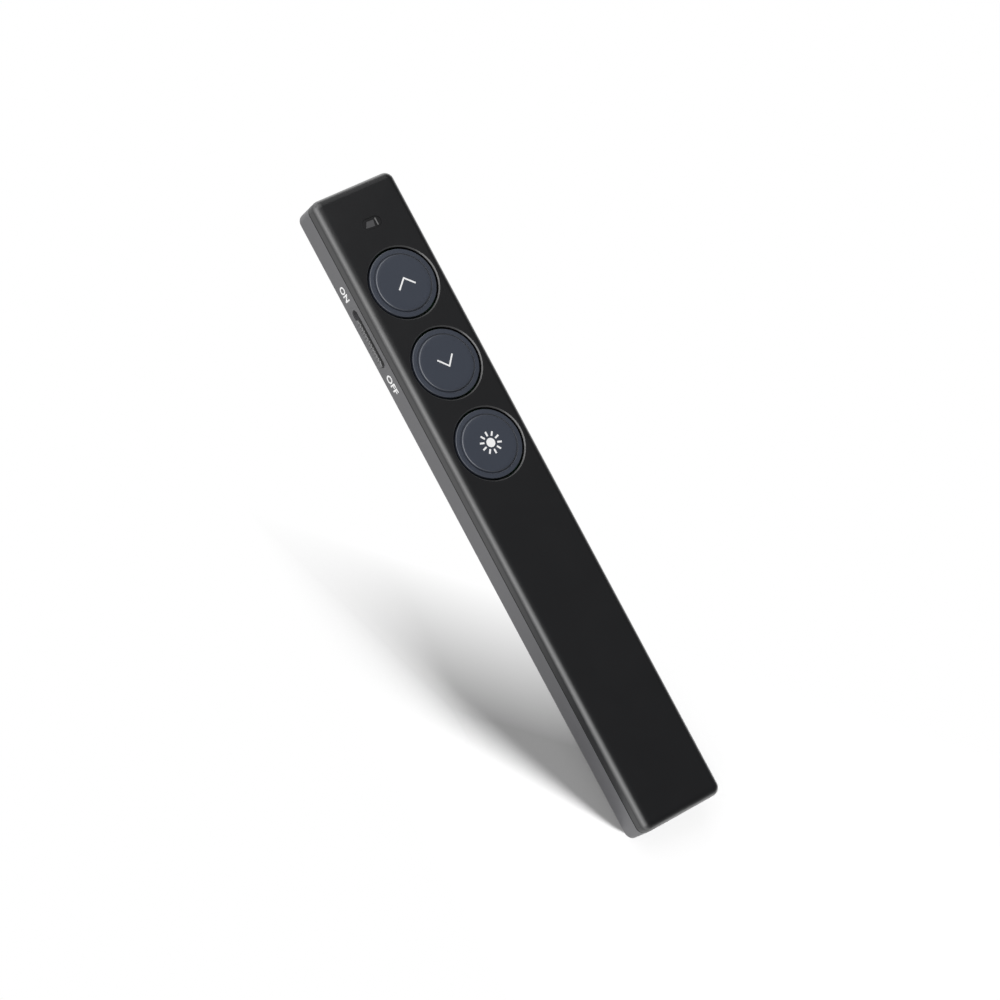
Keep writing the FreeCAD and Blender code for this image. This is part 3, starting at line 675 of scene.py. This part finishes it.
def ribbed_grip(name, material, end_steps=9, first_angle=0.12):
    """A bar along y with round ends. At each station the section is a bevelled
    rectangle: its half height follows the round ends, and its face steps in by the
    groove depth where the station falls in a groove."""
    pitch = (grip_high - grip_low - 2 * rib_land) / rib_count
    centres = grip_low + rib_land + pitch * (np.arange(rib_count) + 0.5)
    groove = np.array([-groove_mouth_half, -groove_floor_half, groove_floor_half, groove_mouth_half])
    edges = (centres[:, None] + groove[None, :]).ravel()
    depths = np.tile([0.0, rib_depth, rib_depth, 0.0], rib_count)
    turn = grip_half * (1 - np.sin(np.linspace(first_angle, np.pi / 2, end_steps)))
    stations = np.concatenate([grip_low + turn, edges, grip_high - turn])
    inward = np.concatenate([np.zeros(end_steps), depths, np.zeros(end_steps)])
    order = np.argsort(stations, kind="stable")
    stations = stations[order]
    reach = np.minimum(stations - grip_low, grip_high - stations)
    gap = np.clip(grip_half - reach, 0, grip_half)
    half = np.sqrt(np.clip(grip_half ** 2 - gap ** 2, grip_tip_half ** 2, None))
    edge = np.minimum(grip_edge, half * 0.5)
    face = grip_face + inward[order]
    root = np.full_like(face, grip_root)
    section = [(root, -half), (face + edge, -half), (face, -half + edge), (face, half - edge),
               (face + edge, half), (root, half)]
    rings = [np.column_stack([x, stations, grip_middle + z]) for x, z in section]
    points = np.stack(rings, axis=1)
    count, size = points.shape[:2]
    here = np.arange(count * size).reshape(count, size)
    beside = np.roll(here, -1, axis=1)
    quads = np.stack([here[:-1], beside[:-1], beside[1:], here[1:]], axis=-1).reshape(-1, 4)
    ends = [here[0, ::-1].tolist(), here[-1].tolist()]
    return new_piece(name, points.reshape(-1, 3), quads.tolist() + ends, material)


grip = ribbed_grip("slider_grip", slider_plastic)
join_surface(grip)
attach(grip, "power_slider")
# Painted shade: a black strip above the grip, where the slot's upper gap lies in shadow.
shade_strip_corners = []
for way in (-1, 1):
    shade_strip_foot = knob_middle + way * shade_strip_low_half
    shade_strip_head = knob_middle + way * shade_strip_high_half
    shade_strip_corners += [(shade_strip_back, shade_strip_foot, shade_strip_low), (shade_strip_front, shade_strip_foot, shade_strip_low),
                     (shade_strip_front, shade_strip_head, shade_strip_high), (shade_strip_back, shade_strip_head, shade_strip_high)]
shade_strip_faces = [(3, 2, 1, 0), (4, 5, 6, 7), (1, 5, 4, 0), (2, 6, 5, 1), (3, 7, 6, 2), (0, 4, 7, 3)]
shade_strip = new_piece("slider_shade_strip", shade_strip_corners, shade_strip_faces, painted_shade_black)
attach(shade_strip, "power_slider")


# Indicator. A smoked bar, moulded in clear plastic, lies in the slot ahead of the buttons
# over a small lamp of cast epoxy. A frosted patch is a thin film on it, and a light grey
# film on it is a painted highlight, where a facet would catch the light.
window_top = box_mm("light_pipe")[1][2]
window_middle = middle_of("light_pipe")[:2]
patch_shape = np.array([(-1.75, 0.75), (0.45, 0.55), (0.75, 1.95), (-0.95, 2.05)])
facet_highlight_shape = np.array([(1.15, 0.55), (1.42, 0.55), (1.42, 2.20), (1.15, 2.20)])
patch_lift = 0.015
smoked = finish_material(
    "smoked_bar", (0.008, 0.008, 0.009), roughness=0.22, grain_mm=0.3, relief_mm=0.001, coat=0.3)
lamp_epoxy = finish_material(
    "lamp_epoxy", (0.62, 0.62, 0.52), roughness=0.25, grain_mm=0.2, relief_mm=0.001)
frosted = finish_material(
    "frosted_patch", (0.060, 0.060, 0.063), roughness=0.45, grain_mm=0.2, relief_mm=0.004)
# Painted highlight: a light grey film where a facet of the bar would catch the light.
painted_facet_highlight = finish_material(
    "painted_facet_highlight", (0.17, 0.17, 0.17), roughness=0.3, grain_mm=0.2, relief_mm=0.001)
dress(smoked, "light_pipe")
dress(lamp_epoxy, "status_led")
film("indicator_patch", [window_middle + patch_shape], "handset", window_top, frosted,
     lift=patch_lift)
film("indicator_facet_highlight", [window_middle + facet_highlight_shape], "handset", window_top, painted_facet_highlight)


# Laser end. A turned brass barrel lies in ribs of both case halves. Its lens stops against
# a lip in front, the diode's gilded can is pressed into its back, and a clear disc closes
# the aperture of the case.
clear_disc = finish_material(
    "clear_disc", (0.92, 0.93, 0.95), roughness=0.05, grain_mm=0.5, relief_mm=0.0002,
    transmission=0.9)
brass = finish_material(
    "turned_brass", (0.56, 0.35, 0.11), roughness=0.28, grain_mm=0.08, relief_mm=0.002,
    metallic=1.0)
gilding = finish_material(
    "gilding", (0.75, 0.52, 0.18), roughness=0.22, grain_mm=0.1, relief_mm=0.001, metallic=1.0)
dress(clear_disc, "laser_window", "laser_lens")
dress(brass, "laser_barrel")
dress(gilding, "laser_diode", "laser_pins")


# Circuit boards and what is soldered to them. Glass fibre under green solder mask, with
# switches and chips in black mouldings, pressed steel covers and small fired ceramics.
solder_mask = finish_material(
    "solder_mask", (0.010, 0.075, 0.030), roughness=0.32, grain_mm=0.6, relief_mm=0.004, coat=0.3)
black_moulding = finish_material(
    "black_moulding", (0.016, 0.016, 0.017), roughness=0.5, grain_mm=0.1, relief_mm=0.004)
plated_steel = finish_material(
    "plated_steel", (0.52, 0.52, 0.53), roughness=0.3, grain_mm=0.15, relief_mm=0.002,
    metallic=1.0)
fired_ceramic = finish_material(
    "fired_ceramic", (0.30, 0.27, 0.22), roughness=0.4, grain_mm=0.1, relief_mm=0.003)
dress(solder_mask, "main_board", "protection_board")
dress(black_moulding, "switch_bodies", "slide_switch_body", "up_switch_plunger",
      "down_switch_plunger", "laser_switch_plunger", "slide_switch_lever",
      "radio_controller", "charging_controller")
dress(plated_steel, "switch_covers", "slide_switch_cover", "crystal")
dress(fired_ceramic, "chip_antenna", "passives")


# Charging socket. A rolled and plated steel shell round a black moulded tongue, which
# carries gilded contact strips on both of its faces.
tongue_middle = middle_of("charging_socket_tongue")
tongue_half = 0.35
strip_count = 6
strip_pitch = 1.0
strip_half = 0.17
strip_back = 4.9
strip_front = 8.3
dress(plated_steel, "charging_socket_shell")
dress(black_moulding, "charging_socket_tongue")
strips = []
for k in range(strip_count):
    y = tongue_middle[1] + (k - (strip_count - 1) / 2) * strip_pitch
    strips.append([(strip_back, y - strip_half), (strip_front, y - strip_half),
                   (strip_front, y + strip_half), (strip_back, y + strip_half)])
film("socket_contacts_upper", strips, "handset", tongue_middle[2] + tongue_half, gilding)
film("socket_contacts_lower", strips, "handset", tongue_middle[2] - tongue_half, gilding)


# Cell. A flat pouch of laminated foil, taped down to the base under a sheet of closed-cell
# foam. Two insulated leads run from its protection board to the main board.
pouch_foil = finish_material(
    "pouch_foil", (0.48, 0.49, 0.50), roughness=0.34, grain_mm=1.2, relief_mm=0.03, metallic=0.9)
paper_tape = finish_material(
    "paper_tape", (0.55, 0.48, 0.30), roughness=0.6, grain_mm=0.3, relief_mm=0.01)
black_foam = finish_material(
    "black_foam", (0.012, 0.012, 0.012), roughness=0.85, grain_mm=0.25, relief_mm=0.05)
red_lead = finish_material(
    "red_lead", (0.30, 0.012, 0.010), roughness=0.4, grain_mm=0.2, relief_mm=0.002)
dress(pouch_foil, "battery_cell")
dress(paper_tape, "battery_tape")
dress(black_foam, "battery_foam")
dress(red_lead, "battery_leads")


# Case screws. Four blackened pan heads in counterbores of the underside, each with a
# pressed cross for the driver.
screw_x = 6.2
front_screw_y = 68.0
rear_screw_y = -52.3
shank_radius = 0.8
shank_end = 6.6
head_radius = 1.6
head_seat = 1.3
head_side_low = 0.62
head_rim_knee = (1.52, 0.50)
head_rim = 0.42
head_flat = 1.38
head_dish = 0.02
face_margin = 0.01
cross_half = 0.21
cross_reach = 0.95
cross_depth = 0.5
cross_side_margin = 0.08
cross_end_margin = 0.25
blackened_steel = finish_material(
    "blackened_steel", (0.055, 0.055, 0.058), roughness=0.30, grain_mm=0.1, relief_mm=0.003,
    metallic=0.9)
dish_radius = np.linspace(0.06, 1.30, 32)
screw_profile = np.vstack([
    [(0, head_rim - head_dish)],
    np.column_stack([dish_radius, head_rim - head_dish * (head_flat - dish_radius)]),
    [(head_flat, head_rim), head_rim_knee, (head_radius, head_side_low)],
    [(head_radius, head_seat)],
    [(shank_radius, head_seat), (shank_radius, shank_end), (0, shank_end)],
])


def pressed_cross(mesh, centre):
    """Pushes the head's face in where a point lies in either arm of a cross. The depth
    falls off over a soft margin at the arms' sides and ends."""
    flat = np.empty(len(mesh.vertices) * 3)
    mesh.vertices.foreach_get("co", flat)
    points = flat.reshape(-1, 3)
    x = points[:, 0] / MM - centre[0]
    y = points[:, 1] / MM - centre[1]
    on_face = points[:, 2] / MM < head_rim + face_margin

    def arm(across, along):
        wide = np.clip((cross_half - np.abs(across)) / cross_side_margin, 0, 1)
        long = np.clip((cross_reach - np.abs(along)) / cross_end_margin, 0, 1)
        return wide * long

    depth = np.maximum(arm(x, y), arm(y, x)) * cross_depth
    points[:, 2] += np.where(on_face, depth, 0) * MM
    mesh.vertices.foreach_set("co", points.ravel())
    mesh.update()


screw_centres = [(side * screw_x, y) for y in (front_screw_y, rear_screw_y) for side in (-1, 1)]
for number, centre in enumerate(screw_centres, start=1):
    screw = turned("case_screw_" + str(number), screw_profile, centre, blackened_steel, sides=96)
    pressed_cross(screw.data, centre)
    join_surface(screw)
    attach(screw, "handset")
    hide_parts("case_screws")


# USB receiver, stored in the rear end. A black moulding that the thumb draws out, with a
# rolled and plated plug shell round an ivory tongue and its gilded contacts.
receiver_plastic = finish_material(
    "receiver_black", (0.014, 0.014, 0.015), roughness=0.45, grain_mm=0.14, relief_mm=0.005)
tongue_plastic = finish_material(
    "tongue_ivory", (0.55, 0.55, 0.52), roughness=0.45, grain_mm=0.2, relief_mm=0.002)
dress(receiver_plastic, "receiver_body")
dress(plated_steel, "receiver_plug_shell")
dress(tongue_plastic, "receiver_tongue")
dress(gilding, "receiver_contacts")
